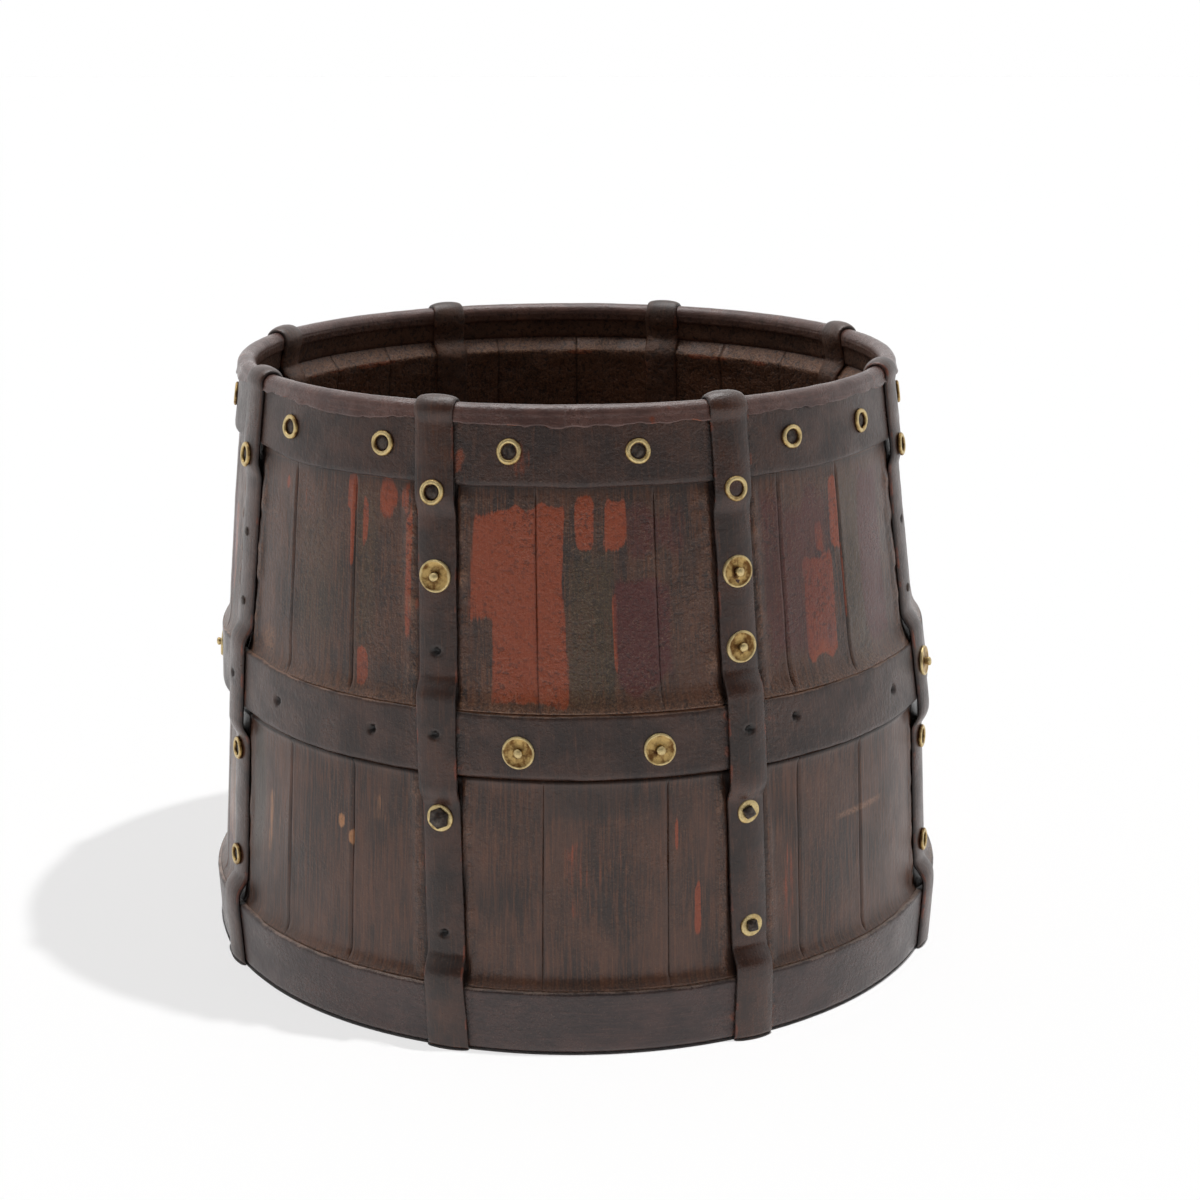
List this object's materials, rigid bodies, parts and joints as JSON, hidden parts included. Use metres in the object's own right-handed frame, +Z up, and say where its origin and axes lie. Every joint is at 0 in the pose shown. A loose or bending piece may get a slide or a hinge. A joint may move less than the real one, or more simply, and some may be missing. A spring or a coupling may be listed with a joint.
{
  "type": "grain measure",
  "caption": "Round grain measure: a tapering tub of upright wooden staves, bound with leather hoops and straps, open at the top.",
  "frame": {"origin": "middle of the foot, on the ground plane", "axes": "+Z up through the middle of the mouth, the pictured front towards -Y"},
  "size_m": [0.2848, 0.2848, 0.2245],
  "materials": {
    "stave_wood": "old lacquered wood, worn and darkened, glossy in places",
    "board_wood": "bare old wood, dusty",
    "hoop_leather": "stiff lacquered hide, dark, semi-gloss",
    "strap_leather": "stiff lacquered hide, streaked, semi-gloss",
    "binding_leather": "rolled hide, rubbed, purple-brown",
    "lining_leather": "rough dusty hide",
    "old_brass": "aged brass with brown patina",
    "dark_iron": "blackened hand-made nails"
  },
  "bodies": {
    "root": {"stave_01": "stave_wood", "stave_02": "stave_wood", "stave_03": "stave_wood", "stave_04": "stave_wood", "stave_05": "stave_wood", "stave_06": "stave_wood", "stave_07": "stave_wood", "stave_08": "stave_wood", "stave_09": "stave_wood", "stave_10": "stave_wood", "stave_11": "stave_wood", "stave_12": "stave_wood", "stave_13": "stave_wood", "stave_14": "stave_wood", "stave_15": "stave_wood", "stave_16": "stave_wood", "stave_17": "stave_wood", "stave_18": "stave_wood", "stave_19": "stave_wood", "stave_20": "stave_wood", "stave_21": "stave_wood", "stave_22": "stave_wood", "stave_23": "stave_wood", "stave_24": "stave_wood", "bottom_plank_1": "board_wood", "bottom_plank_2": "board_wood", "bottom_plank_3": "board_wood", "bottom_hoop": "hoop_leather", "middle_hoop": "hoop_leather", "top_hoop": "hoop_leather", "rim_lining": "lining_leather", "rim_binding": "binding_leather", "strap_1": "strap_leather", "strap_2": "strap_leather", "strap_3": "strap_leather", "strap_4": "strap_leather", "strap_5": "strap_leather", "strap_6": "strap_leather", "strap_7": "strap_leather", "strap_8": "strap_leather", "ring_washers": "old_brass", "roves": "old_brass", "rivets": "old_brass", "square_nail_washers": "old_brass", "iron_stud_washer": "old_brass", "ring_nails": "dark_iron", "square_nails": "dark_iron", "iron_stud": "dark_iron", "small_nails": "dark_iron"}
  },
  "joints": []
}
